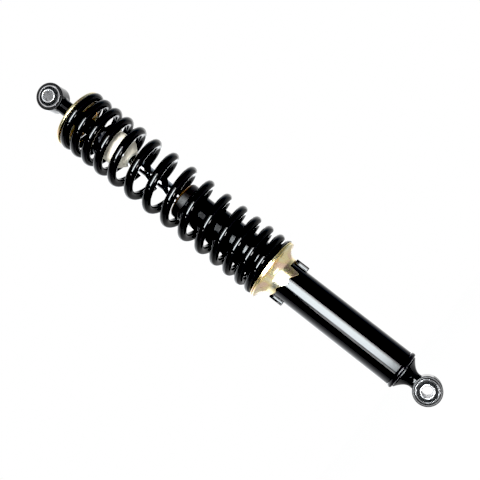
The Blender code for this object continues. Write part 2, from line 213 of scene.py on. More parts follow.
def black_tube_paint():
    """Sprayed gloss on the damper tube: long faint ripples, fine dust and light scuffs."""
    paint = Finish("black_tube_paint")
    ripple = paint.noise(120, 2, (1, 1, 0.12))
    peel = paint.noise(900, 2)
    scuff = paint.noise(420, 4, (1, 1, 0.10)).rising(0.62, 0.74)
    dust = paint.noise(2400, 3).rising(0.68, 0.75)
    colour = paint.mix(ripple, (0.0015, 0.0015, 0.002), (0.003, 0.003, 0.004))
    colour = paint.mix(dust * 0.3, colour, (0.06, 0.06, 0.06))
    return paint.surface(
        base_color=colour, roughness=0.11 + 0.04 * ripple + 0.06 * scuff + 0.15 * dust,
        specular_ior_level=0.4, normal=paint.bump(ripple + 0.3 * peel, 0.03 * MM, 0.5),
    )


def black_forging_paint(name, bare_from=None):
    """Thinner black on forged steel; an eye may have a turned ring bare of paint on its faces."""
    paint = Finish(name)
    grain = paint.noise(900, 4)
    lumps = paint.noise(220, 2)
    chips = paint.noise(650, 5).rising(0.70, 0.73)
    colour = paint.mix(lumps, (0.002, 0.002, 0.0022), (0.006, 0.006, 0.0065))
    colour = paint.mix(chips * 0.5, colour, (0.10, 0.09, 0.08))
    bare = 0.0
    if bare_from:
        far = paint.radius()
        bare = far.rising(bare_from - 0.1 * MM, bare_from + 0.1 * MM)
        bare = bare * far.rising(bare_from + 0.9 * MM, bare_from + 0.7 * MM)
        colour = paint.mix(bare, colour, (0.40, 0.40, 0.41))
    return paint.surface(
        base_color=colour, metallic=bare,
        roughness=0.08 + 0.04 * grain - 0.03 * bare, specular_ior_level=0.35,
        normal=paint.bump(grain * 0.4 + lumps, 0.02 * MM, 0.5),
    )


def yellow_zinc():
    """Yellow passivated zinc: the film drifts from straw through gold and rose to olive."""
    zinc = Finish("yellow_zinc")
    drift = zinc.noise(48, 2, (1, 1, 1.6), 0.8)
    film = zinc.node("ShaderNodeValToRGB", {"stops": (
        (0.30, (0.97, 0.94, 0.76)), (0.42, (0.97, 0.87, 0.52)), (0.51, (0.96, 0.79, 0.44)),
        (0.59, (0.93, 0.68, 0.52)), (0.68, (0.78, 0.74, 0.44)), (0.78, (0.96, 0.88, 0.66)),
    )}, {"Fac": drift})
    brush = zinc.noise(1500, 2, (1, 1, 0.15))
    stain = zinc.noise(260, 5).rising(0.60, 0.72)
    colour = zinc.mix(stain * 0.45, film, (0.42, 0.27, 0.12))
    return zinc.surface(
        base_color=colour, metallic=1.0, roughness=0.20 + 0.12 * brush + 0.15 * stain,
        normal=zinc.bump(brush, 0.01 * MM, 0.5),
    )


def bright_zinc():
    """Clear zinc on a turned sleeve: fine rings on its faces, a little bloom, and painted shade in the
    bore.
    """
    zinc = Finish("bright_zinc")
    rings = zinc.node(
        "ShaderNodeTexWave", {"wave_type": "RINGS", "rings_direction": "Z"},
        {"Vector": zinc.place, "Scale": 1900.0, "Distortion": 0.6, "Detail": 2.0},
    )
    bloom = zinc.noise(420, 4)
    colour = zinc.mix(bloom, (0.92, 0.93, 0.94), (0.80, 0.82, 0.84))
    # painted shade: the bore's wall is painted dark, less metallic and rougher, for the shade inside
    # the hole
    bore = zinc.radius().rising(5.14 * MM, 5.06 * MM)
    colour = zinc.mix(bore, colour, (0.10, 0.09, 0.09))
    return zinc.surface(
        base_color=colour, metallic=1.0 - 0.8 * bore, roughness=0.09 + 0.05 * bloom + 0.6 * bore,
        normal=zinc.bump(rings, 0.002 * MM, 0.4),
    )


def machined_steel():
    """Plain turned or rolled steel with oil-dark patches."""
    steel = Finish("machined_steel")
    rings = steel.noise(1400, 2, (0.3, 0.3, 1))
    patch = steel.noise(300, 4)
    colour = steel.mix(patch, (0.33, 0.33, 0.34), (0.52, 0.52, 0.53))
    return steel.surface(
        base_color=colour, metallic=1.0, roughness=0.06 + 0.05 * patch,
        normal=steel.bump(rings, 0.004 * MM, 0.5),
    )


def dark_steel():
    """Pressed steel with a dark phosphate film, rubbed a little brighter in places."""
    steel = Finish("dark_steel")
    grain = steel.noise(1500, 3)
    rub = steel.noise(200, 4).rising(0.52, 0.70)
    colour = steel.mix(rub, (0.030, 0.030, 0.034), (0.20, 0.20, 0.21))
    return steel.surface(
        base_color=colour, metallic=0.9, roughness=0.30 + 0.15 * grain,
        normal=steel.bump(grain, 0.02 * MM, 0.5),
    )


def hard_chrome():
    """Ground and chromed rod: nearly a mirror, with the finest grinding rings."""
    chrome = Finish("hard_chrome")
    rings = chrome.noise(5200, 1, (0.02, 0.02, 1))
    haze = chrome.noise(150, 3)
    colour = chrome.mix(haze, (0.86, 0.87, 0.89), (0.78, 0.80, 0.83))
    return chrome.surface(
        base_color=colour, metallic=1.0, roughness=0.035 + 0.04 * haze,
        normal=chrome.bump(rings, 0.002 * MM, 0.3),
    )


def sintered_bronze():
    bronze = Finish("sintered_bronze")
    pores = bronze.noise(2600, 3)
    colour = bronze.mix(pores, (0.34, 0.20, 0.09), (0.58, 0.38, 0.18))
    return bronze.surface(
        base_color=colour, metallic=1.0, roughness=0.36 + 0.2 * pores,
        normal=bronze.bump(pores, 0.03 * MM, 0.6),
    )


def bush_rubber():
    """Moulded rubber: fine bloom and a fine grain."""
    rubber = Finish("bush_rubber")
    bloom = rubber.noise(380, 4)
    grain = rubber.noise(2400, 3)
    colour = rubber.mix(bloom, (0.006, 0.006, 0.0065), (0.018, 0.018, 0.019))
    return rubber.surface(
        base_color=colour, roughness=0.42 + 0.22 * bloom, normal=rubber.bump(grain, 0.03 * MM, 0.6),
    )


def cream_foam():
    """Moulded microcellular foam: matt skin, fine cells, and darker beige blotches spread at random.
    """
    foam = Finish("cream_foam")
    cells = foam.node(
        "ShaderNodeTexVoronoi", None, {"Vector": foam.place, "Scale": 1500.0}, "Distance"
    )
    cloud = foam.noise(110, 4)
    # darker beige blotches, spread at random over the foam
    dark_blotches = foam.noise(240, 5).rising(0.52, 0.72)
    colour = foam.mix(cloud, (0.95, 0.91, 0.79), (0.87, 0.82, 0.67))
    colour = foam.mix(dark_blotches * 0.30, colour, (0.62, 0.54, 0.38))
    return foam.surface(
        base_color=colour, roughness=0.55 + 0.2 * cloud,
        normal=foam.bump(cells + cloud, 0.06 * MM, 0.5),
    )


def brown_rim_paint(rim_height):
    """Thin black on the crimped cap, rubbed through to brown steel at its top edge."""
    paint = Finish("brown_rim_paint")
    edge = paint.axis(2).rising(rim_height - 2.4 * MM, rim_height - 0.4 * MM)
    patchy = paint.noise(260, 4).rising(0.30, 0.60)
    worn = edge * patchy
    colour = paint.mix(worn, (0.008, 0.007, 0.007), (0.30, 0.17, 0.07))
    grain = paint.noise(900, 4)
    return paint.surface(
        base_color=colour, metallic=worn * 0.8, roughness=0.22 + 0.18 * grain,
        normal=paint.bump(grain, 0.04 * MM, 0.5),
    )


# Shapes


def piece(name, vertices, faces, finish, place=None):
    """An object of this mesh, shaded smooth but for its sharp edges."""
    mesh = bpy.data.meshes.new(name)
    mesh.from_pydata([tuple(v) for v in vertices], [], faces)
    mesh.validate()
    bm = bmesh.new()
    bm.from_mesh(mesh)
    bmesh.ops.recalc_face_normals(bm, faces=bm.faces)
    bm.to_mesh(mesh)
    bm.free()
    mesh.shade_smooth()
    mesh.set_sharp_from_angle(angle=SMOOTH_UNDER)
    if finish:
        mesh.materials.append(finish)
    obj = bpy.data.objects.new(name, mesh)
    obj.matrix_world = place or Matrix.Identity(4)
    bpy.context.scene.collection.objects.link(obj)
    return obj


def eased(outline, ease, steps=4):
    """The closed outline with its corners rounded; a point may carry its own easing."""
    points = []
    count = len(outline)
    for i, (radius, height, *own) in enumerate(outline):
        corner = Vector((radius, height))
        before = Vector(outline[i - 1][:2]) - corner
        after = Vector(outline[(i + 1) % count][:2]) - corner
        reach = min(own[0] if own else ease, 0.45 * before.length, 0.45 * after.length)
        if radius < 1e-6 or reach < 1e-6:
            points.append((radius, height))
            continue
        start = corner + before.normalized() * reach
        end = corner + after.normalized() * reach
        spots = [start * (1 - t) ** 2 + corner * 2 * t * (1 - t) + end * t * t
                 for t in np.linspace(0, 1, steps + 1)]
        # a ring close to the rounding keeps the long wall beyond it shaded flat
        if before.length > 6 * reach:
            spots.insert(0, corner + before.normalized() * reach * 1.5)
        if after.length > 6 * reach:
            spots.append(corner + after.normalized() * reach * 1.5)
        points += [tuple(spot) for spot in spots]
    return points


def turned(name, outline, finish, ease=0.25 * MM, place=None, sides=AROUND):
    """A closed outline of (radius, height) points turned about Z, its corners rounded."""
    points = eased(outline, ease)
    angles = np.arange(sides) * 2 * math.pi / sides
    vertices = []
    rings = []
    for radius, height in points:
        first = len(vertices)
        if radius < 1e-6:
            vertices.append((0, 0, height))
            rings.append([first] * sides)
            continue
        vertices += [(radius * math.cos(a), radius * math.sin(a), height) for a in angles]
        rings.append(list(range(first, first + sides)))
    return piece(name, vertices, ring_faces(rings), finish, place)


def ring_faces(rings):
    faces = []
    for here, after in zip(rings, rings[1:] + rings[:1]):
        for i in range(len(here)):
            j = (i + 1) % len(here)
            corners = list(dict.fromkeys((here[i], here[j], after[j], after[i])))
            if len(corners) > 2:
                faces.append(corners)
    return faces


def hexed(name, bore, flats, low, high, finish):
    """A hexagon nut with chamfered corners."""
    sides = 96
    corner = flats / 2 / math.cos(math.pi / 6)
    chamfer = 0.9 * (corner - flats / 2)
    vertices = []
    rings = []
    levels = (
        (bore, low, False), (flats / 2, low, False), (corner, low + chamfer, True),
        (corner, high - chamfer, True), (flats / 2, high, False), (bore, high, False),
    )
    for radius, height, full in levels:
        first = len(vertices)
        for k in range(sides):
            turn = 2 * math.pi * k / sides
            flat = flats / 2 / math.cos((turn + math.pi / 6) % (math.pi / 3) - math.pi / 6)
            reach = flat if full else radius
            up = height
            if full:
                lift = (corner - flat) * 0.55
                up = height - lift if height < (low + high) / 2 else height + lift
            vertices.append((reach * math.cos(turn), reach * math.sin(turn), up))
        rings.append(list(range(first, first + sides)))
    return piece(name, vertices, ring_faces(rings), finish)


def carved(obj, steps):
    """obj with these (piece, operation) Booleans made and the tools removed."""
    for tool, operation in steps:
        change = obj.modifiers.new(tool.name, "BOOLEAN")
        change.object = tool
        change.operation = operation
        change.solver = "EXACT"
    bpy.context.view_layer.update()
    graph = bpy.context.evaluated_depsgraph_get()
    made = bpy.data.meshes.new_from_object(obj.evaluated_get(graph))
    obj.modifiers.clear()
    obj.data = made
    bm = bmesh.new()
    bm.from_mesh(made)
    bmesh.ops.remove_doubles(bm, verts=bm.verts, dist=SLIVER)
    bmesh.ops.dissolve_degenerate(bm, edges=bm.edges, dist=SLIVER)
    bm.to_mesh(made)
    bm.free()
    made.shade_smooth()
    made.set_sharp_from_angle(angle=SMOOTH_UNDER)
    for tool, _ in steps:
        bpy.data.objects.remove(tool, do_unlink=True)
    return obj


def stands_for(obj, body, slot, *nodes):
    """obj rides on the body in place of these CAD nodes."""
    if body:
        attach(obj, body)
    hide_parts(*nodes)
    return obj


# Sizes read from the frame


def reach_of(node):
    """A turned node's (largest radius, lowest, highest)."""
    low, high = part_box(node)
    return high.x, low.z, high.z


TUBE_R, TUBE_LOW, TUBE_HIGH = reach_of("damper_tube")
SPRING_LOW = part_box("main_spring")[0].z
SPRING_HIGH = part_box("main_spring")[1].z
EYE_HEIGHTS = {"lower": 0.0, "upper": 0.5 * sum(c.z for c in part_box("upper_bush_sleeve"))}


# Damper body


def add_damper_tube(paint):
    wall = TUBE_WALL
    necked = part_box("rod_guide")[1].x + TOUCH + wall
    neck = 238 * MM
    outline = [
        (TUBE_R - wall, TUBE_LOW), (TUBE_R, TUBE_LOW), (TUBE_R, neck, 2 * MM),
        (necked, neck + 4 * MM, 2 * MM), (necked, TUBE_HIGH), (necked - wall, TUBE_HIGH),
        (necked - wall, neck + 4 * MM), (TUBE_R - wall, neck),
    ]
    tube = turned("damper_tube_skin", outline, paint)
    stands_for(tube, "damper_body", "black_gloss_paint", "damper_tube")


def add_end_cap(paint):
    bead, low, high = reach_of("lower_end_cap")
    top = low + 4 * MM
    spigot = TUBE_R - 1.9 * MM
    outline = [
        (0, low), (bead - 0.6 * MM, low, 1.2 * MM), (bead, low + 1.6 * MM, 1.2 * MM),
        (bead, low + 2.4 * MM, 1.2 * MM), (bead - 0.7 * MM, top, 0.9 * MM),
        (spigot, top), (spigot, high), (0, high),
    ]
    cap = turned("rolled_end_cap", outline, paint)
    stands_for(cap, "damper_body", "black_gloss_paint", "lower_end_cap")


def eye_outline(radius, half, edge):
    return [(0, -half), (radius - edge, -half), (radius, edge - half),
            (radius, half - edge), (radius - edge, half), (0, half)]


def eye_place(end):
    return Matrix.Translation((0, 0, EYE_HEIGHTS[end])) @ ALONG_Y


def eye_forging(end, neck, paint):
    """An eye barrel joined to its neck and bored for the bush."""
    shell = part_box(end + "_bush_shell")[1].x
    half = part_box("upper_eye")[1].y - 0.1 * MM
    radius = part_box("upper_eye")[1].x
    barrel = turned(end + "_eye_forging", eye_outline(radius, half, 0.5 * MM), paint,
                    0.15 * MM, eye_place(end))
    hole, beyond = shell + TOUCH, 2 * half
    outline = [(0, -beyond), (hole, -beyond), (hole, beyond), (0, beyond)]
    bore = turned("bore", outline, None, 0, eye_place(end))
    return carved(barrel, [(neck, "UNION"), (bore, "DIFFERENCE")])


def arc_outline(start, end, bulge, steps=12):
    """Points from start to end of a curve pulled towards bulge."""
    points = []
    for k in range(steps + 1):
        t = k / steps
        points.append(tuple(
            (1 - t) ** 2 * a + 2 * t * (1 - t) * b + t * t * c
            for a, b, c in zip(start, bulge, end)
        ))
    return points


def add_lower_eye(paint):
    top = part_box("lower_end_cap")[0].z - TOUCH
    wide = TUBE_R - 1.5 * MM
    slope = arc_outline((6.9 * MM, 14.5 * MM), (wide, top - 1.0 * MM), (7.6 * MM, 19.6 * MM))
    outline = [(0, 6.6 * MM), (7.2 * MM, 6.6 * MM), *slope, (wide, top), (0, top)]
    neck = turned("neck", outline, None, 0.2 * MM)
    eye = eye_forging("lower", neck, paint)
    stands_for(eye, "damper_body", "black_painted_forging", "lower_eye")


def add_upper_eye(paint):
    """The eye and its stem, with the shoulder that bears on the spring seat."""
    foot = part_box("upper_eye")[0].z
    seat_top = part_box("upper_spring_seat")[1].z
    eye_height = EYE_HEIGHTS["upper"]
    thread = THREAD_HOLE_R
    stem = 7.5 * MM
    shoulder = 9.8 * MM
    thread_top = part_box("piston_rod")[1].z + TOUCH
    outline = [
        (thread, foot), (stem, foot), (stem, seat_top + TOUCH),
        (shoulder, seat_top + TOUCH), (shoulder, seat_top + 2.5 * MM, 0.6 * MM),
        (stem, seat_top + 3.2 * MM, 1.2 * MM), (stem, eye_height - 12.5 * MM, 1.5 * MM),
        (stem + 1.2 * MM, eye_height - 9.5 * MM), (stem, eye_height - 6.6 * MM),
        (0, eye_height - 6.6 * MM), (0, thread_top), (thread, thread_top),
    ]
    neck = turned("neck", outline, None, 0.2 * MM)
    eye = eye_forging("upper", neck, paint)
    stands_for(eye, "rod", "black_painted_forging", "upper_eye")


def add_bush(end, steel, rubber, zinc):
    """Steel shell, rubber moulded with a groove at each face, and the bolt sleeve."""
    body = "damper_body" if end == "lower" else "rod"
    place = eye_place(end)
    shell_low, shell_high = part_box(end + "_bush_shell")
    shell, half = shell_high.x, shell_high.y
    wall = 0.9 * MM
    outline = [(shell - wall, -half), (shell, -half), (shell, half), (shell - wall, half)]
    skin = turned(end + "_bush_shell_skin", outline, steel, 0.06 * MM, place)
    stands_for(skin, body, "machined_steel", end + "_bush_shell")

    sleeve_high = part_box(end + "_bush_sleeve")[1]
    inner = sleeve_high.x + TOUCH
    outer = shell - wall - TOUCH
    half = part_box(end + "_bush_rubber")[1].y
    span = outer - inner
    profile = [(0.0, -0.2), (0.14, 0.0), (0.30, -0.55), (0.42, -1.7), (0.58, -1.9), (0.70, -1.0),
               (0.80, -0.35), (0.92, -0.45), (1.0, -0.75)]
    face = [(inner + span * s, half + drop * MM) for s, drop in profile]
    outline = face + [(r, -h) for r, h in reversed(face)]
    skin = turned(end + "_bush_rubber_skin", outline, rubber, 0.3 * MM, place)
    stands_for(skin, body, "black_rubber", end + "_bush_rubber")

    bore = BOLT_BORE_R
    half = sleeve_high.y
    radius = sleeve_high.x
    outline = [
        (bore, 0.6 * MM - half), (bore + 0.5 * MM, -half), (radius - 0.35 * MM, -half),
        (radius, 0.35 * MM - half), (radius, half - 0.35 * MM), (radius - 0.35 * MM, half),
        (bore + 0.5 * MM, half), (bore, half - 0.6 * MM),
    ]
    skin = turned(end + "_bolt_sleeve", outline, zinc, 0.12 * MM, place)
    stands_for(skin, end + "_sleeve", "clear_zinc", end + "_bush_sleeve")


def add_top_cap(paint, rubber):
    rim, low, high = reach_of("top_cap")
    wall = 1.6 * MM
    plate = 2.2 * MM
    hole = 7.45 * MM
    outline = [
        (hole, high - plate), (rim - wall, high - plate), (rim - wall, low), (rim, low),
        (rim, high - 1.4 * MM, 0.8 * MM), (rim - 1.5 * MM, high, 0.8 * MM),
        (hole + 3.4 * MM, high - 0.5 * MM, 0.8 * MM), (hole, high - 0.5 * MM),
    ]
    cap = turned("crimped_top_cap", outline, paint)
    stands_for(cap, "damper_body", "brown_black_steel", "top_cap")
    radius, low, high = reach_of("rod_wiper")
    hole = ROD_HOLE_R
    outline = [
        (hole, low), (radius, low), (radius, low + 0.7 * MM), (hole + 1.2 * MM, high),
        (hole, high - 0.3 * MM),
    ]
    wiper = turned("rod_wiper_lip", outline, rubber, 0.2 * MM)
    stands_for(wiper, "damper_body", "black_rubber", "rod_wiper")


def add_stop_lugs(paint):
    """Two small pressed blocks, welded to the tube, that the collar's slots rest on."""
    for name in ("stop_lug_right", "stop_lug_left"):
        low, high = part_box(name)
        side = 1 if name.endswith("right") else -1
        inner = TUBE_R + TOUCH * 0.6
        outer = max(abs(low.x), abs(high.x))
        half = high.y * 0.98
        bm = bmesh.new()
        bmesh.ops.create_cube(bm, size=1.0)
        size = (outer - inner, 2 * half, high.z - low.z)
        bmesh.ops.scale(bm, vec=size, verts=bm.verts)
        middle = (side * (outer + inner) / 2, 0, (low.z + high.z) / 2)
        bmesh.ops.translate(bm, vec=middle, verts=bm.verts)
        for corner in bm.verts:
            if abs(corner.co.x) > (outer + inner) / 2:
                corner.co.y *= 0.7
        bmesh.ops.bevel(bm, geom=bm.edges[:], offset=0.55 * MM, segments=4, profile=0.5,
                        affect="EDGES")
        mesh = bpy.data.meshes.new(name + "_block")
        bm.to_mesh(mesh)
        bm.free()
        mesh.shade_smooth()
        mesh.materials.append(paint)
        block = bpy.data.objects.new(name + "_block", mesh)
        bpy.context.scene.collection.objects.link(block)
        stands_for(block, "damper_body", "black_painted_forging", name)


# Preload collar and seats

# depth of the collar's lower edge below the slot floor, by degrees turned from a stop lug
CAM_EDGE = (
    (-47, 0.6), (-45, 0.0), (15, 0.0), (19, 0.5), (22, 1.7), (44, 4.0), (47, 4.3), (50, 4.0),
    (55, 3.0), (58, 2.8), (62, 3.2), (86, 8.5), (89, 9.0), (92, 8.7), (98, 7.2), (101, 6.9),
    (105, 7.2), (126, 11.0), (129, 11.2), (131.5, 10.6), (133, 0.6),
)


def add_collar(zinc):
    """The pressed collar: a stepped lower edge, and a flare that carries the spring seat."""
    rim, _, top = reach_of("preload_cam")
    inner = TUBE_R + COLLAR_GAP
    wall = 1.9 * MM
    outer = inner + wall
    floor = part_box("stop_lug_right")[1].z + TOUCH
    flare = 9.5 * MM
    waist = top - 1.7 * MM - flare
    per_turn = 1080
    degrees = np.arange(per_turn) * 360 / per_turn
    marks, depths = zip(*CAM_EDGE)
    depth = np.interp((degrees + 47) % 180 - 47, marks, depths)
    window = np.ones(7) / 7
    wrapped = np.concatenate([depth[-3:], depth, depth[:3]])
    depth = np.convolve(wrapped, window, "valid") * MM
    corners = [math.radians(6 * k) for k in range(16)]
    wide = rim - outer
    outside = [(rim - wide * math.cos(c), waist + flare * math.sin(c)) for c in corners]
    lip = [(rim, waist + flare + 0.5 * MM), (rim, top - 0.5 * MM), (rim - 0.5 * MM, top)]
    inside = [
        (rim - 1.2 * MM - (wide + wall - 1.2 * MM) * math.cos(c),
         waist + (top - waist) * math.sin(c))
        for c in reversed(corners)
    ]
    vertices = []
    rings = []
    ease = 0.3 * MM
    for turn, hang in zip(np.radians(degrees), depth):
        low = floor - hang
        edge = [(inner, low + ease), (inner + ease, low), (outer - ease, low), (outer, low + ease)]
        section = edge + outside + lip + inside
        first = len(vertices)
        vertices += [(r * math.cos(turn), r * math.sin(turn), z) for r, z in section]
        rings.append(list(range(first, first + len(section))))
    collar = piece("stepped_preload_collar", vertices, ring_faces(rings), zinc)
    stands_for(collar, "preload_collar", "yellow_zinc", "preload_cam")


def add_seats(zinc):
    rim, low, high = reach_of("spring_seat_washer")
    hole = TUBE_R + COLLAR_GAP
    outline = [(hole, low), (rim, low), (rim, high), (hole, high)]
    washer = turned("lower_seat_washer", outline, zinc, 0.3 * MM)
    stands_for(washer, "preload_seat", "yellow_zinc", "spring_seat_washer")
    rim, low, high = reach_of("upper_spring_seat")
    plate = high - 2.5 * MM
    locating = 21.55 * MM
    hole = 7.8 * MM
    outline = [
        (hole, plate), (locating - 2.5 * MM, plate), (locating - 2.5 * MM, low),
        (locating, low, 0.8 * MM), (locating, plate), (rim, plate, 0.6 * MM),
        (rim, high, 1.1 * MM), (hole, high),
    ]
    seat = turned("upper_seat_plate", outline, zinc)
    stands_for(seat, "upper_seat", "yellow_zinc", "upper_spring_seat")


# Spring

WIRE_R = 4.3 * MM
COIL_R = 30.5 * MM - WIRE_R
END_DROP = 1.2 * MM
END_RISE = 4.0 * MM
TOP_GROUND_TURNS = 0.5
BOTTOM_GROUND_TURNS = 0.75
ACTIVE_TURNS = 13.5
SPLIT_TURN = 10.5  # the wire is cut here into its upper and lower lengths
# how far the coils open, in shares, by turns counted down from the top
OPENING = (
    (0.0, 0.0), (1.0, 3.4), (2.2, 5.1), (3.4, 6.4), (4.8, 11.1), (6.0, 13.0), (7.4, 12.2),
    (8.6, 11.4), (9.6, 9.2), (11.0, 5.7), (12.6, 3.9), (13.5, 0.0),
)


def opened(turns):
    """Shares of opening passed, from the top coil down to each turn."""
    marks, shares = zip(*OPENING)
    fine = np.linspace(0, ACTIVE_TURNS, 2701)
    passed = np.cumsum(np.interp(fine, marks, shares)) * (fine[1] - fine[0])
    return np.interp(turns, fine, passed)


def coil_heights(turns):
    """Height of the wire's centre, by turns counted down from +X at the top coil."""
    closed = 2 * WIRE_R + 0.5 * MM
    drop = SPRING_HIGH - END_DROP - SPRING_LOW - END_RISE - closed * ACTIVE_TURNS
    share = opened(turns) / opened(ACTIVE_TURNS)
    return SPRING_HIGH - END_DROP - closed * turns - drop * share


def wire_section(room_above, room_below, sides):
    """(out, up) points of the round wire, ground flat where a plane is nearer than its radius."""
    points = []
    angles = np.arange(sides) * 2 * math.pi / sides - math.pi / 2
    for angle in angles:
        points.append([WIRE_R * math.cos(angle), WIRE_R * math.sin(angle)])
    for room, sign in ((room_above, 1), (room_below, -1)):
        if room >= WIRE_R:
            continue
        start = math.asin(max(room / WIRE_R, -0.999))
        half_chord = WIRE_R * math.cos(start)
        for point, angle in zip(points, angles):
            if sign * WIRE_R * math.sin(angle) <= room:
                continue
            turn = (sign * angle - start) % (2 * math.pi)
            point[0] = half_chord * math.cos(math.pi * turn / (math.pi - 2 * start))
            point[1] = sign * room
    return points


def spring_part(name, first, last, weights, capped, paint):
    """Wire from one turn to another; each cross-section has one weight, so it stays round."""
    per_turn, sides = 72, 24
    count = round((last - first) * per_turn)
    turns = np.linspace(first, last, count + 1)
    heights = coil_heights(turns)
    slopes = np.gradient(heights, turns)
    vertices = []
    rings = []
    for turn, height, slope in zip(turns, heights, slopes):
        angle = -2 * math.pi * turn
        out = Vector((math.cos(angle), math.sin(angle), 0))
        lean = math.atan2(slope, 2 * math.pi * COIL_R)
        up = Vector((-math.sin(angle) * math.sin(lean), math.cos(angle) * math.sin(lean),
                     math.cos(lean)))
        first_index = len(vertices)
        centre = out * COIL_R + Vector((0, 0, height))
        section = wire_section(SPRING_HIGH - height, height - SPRING_LOW, sides)
        vertices += [centre + out * x + up * y for x, y in section]
        rings.append(list(range(first_index, first_index + sides)))
    faces = []
    for here, after in zip(rings, rings[1:]):
        for s in range(sides):
            faces.append((here[s - 1], here[s], after[s], after[s - 1]))
    faces.append(rings[0 if capped == "first" else -1])
    made = piece(name, vertices, faces, paint)
    return made, np.repeat(weights(turns, heights), sides)


def spare_height(turns, heights):
    """How far the coils could still close between the split and each turn."""
    split = coil_heights(SPLIT_TURN)
    return np.abs(heights - split) - 2 * WIRE_R * np.abs(turns - SPLIT_TURN)


def lower_weights(turns, heights):
    whole = spare_height(ACTIVE_TURNS, coil_heights(ACTIVE_TURNS))
    return np.where(turns >= ACTIVE_TURNS, 1.0, spare_height(turns, heights) / whole)


def upper_weights(turns, heights):
    whole = spare_height(0.0, coil_heights(0.0))
    return np.where(turns <= 0, 1.0, spare_height(turns, heights) / whole)


def add_spring(paint):
    """Two lengths of one wire, the upper coils and the lower coils, each built in place."""
    lengths = (
        ("spring_upper_coils", -TOP_GROUND_TURNS, SPLIT_TURN, upper_weights, "first", "upper_seat"),
        ("spring_lower_coils", SPLIT_TURN, ACTIVE_TURNS + BOTTOM_GROUND_TURNS, lower_weights, "last",
         "preload_seat"),
    )
    for name, first, last, weights, capped, seat in lengths:
        coils, share = spring_part(name, first, last, weights, capped, paint)
        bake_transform(coils)
        stands_for(coils, None, "black_gloss_paint", "main_spring")


# Rod and bump stop


def add_rod(chrome):
    radius, low, high = reach_of("piston_rod")
    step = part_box("piston")[1].z + TOUCH
    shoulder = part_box("bump_stop_cup")[1].z - CUP_PLATE - TOUCH
    spigot, thread = 4.5 * MM, 5.0 * MM
    outline = [
        (0, low), (spigot, low), (spigot, step), (radius, step), (radius, shoulder),
        (thread, shoulder), (thread, high), (0, high),
    ]
    rod = turned("chromed_rod", outline, chrome, 0.2 * MM, sides=96)
    stands_for(rod, "rod", "hard_chrome", "piston_rod")


def add_bump_stop(foam, steel, pressed):
    radius, low, high = reach_of("bump_stop")
    hole = ROD_HOLE_R
    groove = high - 6.5 * MM
    outline = [
        (hole, low + 0.6 * MM), (hole + 0.5 * MM, low, 0.5 * MM), (8.8 * MM, low, 0.9 * MM),
        (radius - 0.9 * MM, low + 6.7 * MM, 2.2 * MM), (radius, low + 9.2 * MM, 2.0 * MM),
        (radius, groove - 1.8 * MM, 1.0 * MM), (radius - 0.9 * MM, groove, 0.8 * MM),
        (radius, groove + 1.8 * MM, 1.0 * MM), (radius, high), (hole, high),
    ]
    stop = turned("foam_bump_stop", outline, foam, 0.4 * MM)
    stands_for(stop, "rod", "cream_foam", "bump_stop")
    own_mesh(stop)
    rim, low, high = reach_of("bump_stop_cup")
    wall = 1.15 * MM
    plate = high - CUP_PLATE
    thread = THREAD_HOLE_R
    outline = [
        (thread, plate), (rim - wall, plate), (rim - wall, low), (rim, low, 0.4 * MM),
        (rim, high - 1.2 * MM, 1.2 * MM), (rim - 1.6 * MM, high, 1.2 * MM), (thread, high),
    ]
    cup = turned("bump_stop_cup_skin", outline, pressed, 0.3 * MM)
    stands_for(cup, "rod", "machined_steel", "bump_stop_cup")
    low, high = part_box("lock_nut")
    nut = hexed("rod_lock_nut", thread, 2 * high.x, low.z, high.z, steel)
    stands_for(nut, "rod", "machined_steel", "lock_nut")


def finish_hidden_nodes(finishes):
    """The pieces inside the damper keep their shape and take a finish by slot."""
    slots = {s["node"]: s["material_slot"] for s in frame["record"]["subparts"]}
    for name, node in frame["nodes"].items():
        for slot in node.material_slots:
            slot.material = finishes[slots[name]]


# Light and camera


def soft_box(name, azimuth, elevation, distance, width, height, power, colour, shows_in):
    """An area light aimed at the shock's middle; azimuth 0 is in front, 90 on the right."""
    middle = Vector((0, 0, 210 * MM))
    a, e = math.radians(azimuth), math.radians(elevation)
    back = Vector((math.sin(a) * math.cos(e), -math.cos(a) * math.cos(e), math.sin(e)))
    light = bpy.data.lights.new(name, "AREA")
    light.shape = "RECTANGLE"
    light.size, light.size_y = width, height
    light.energy = power
    light.color = colour
    obj = bpy.data.objects.new(name, light)
    turn = (-back).to_track_quat("-Z", "Y").to_matrix().to_4x4()
    obj.matrix_world = Matrix.Translation(middle + back * distance) @ turn
    obj.visible_camera = False
    obj.visible_diffuse = shows_in != "gloss"
    obj.visible_glossy = shows_in != "matt"
    bpy.context.scene.collection.objects.link(obj)


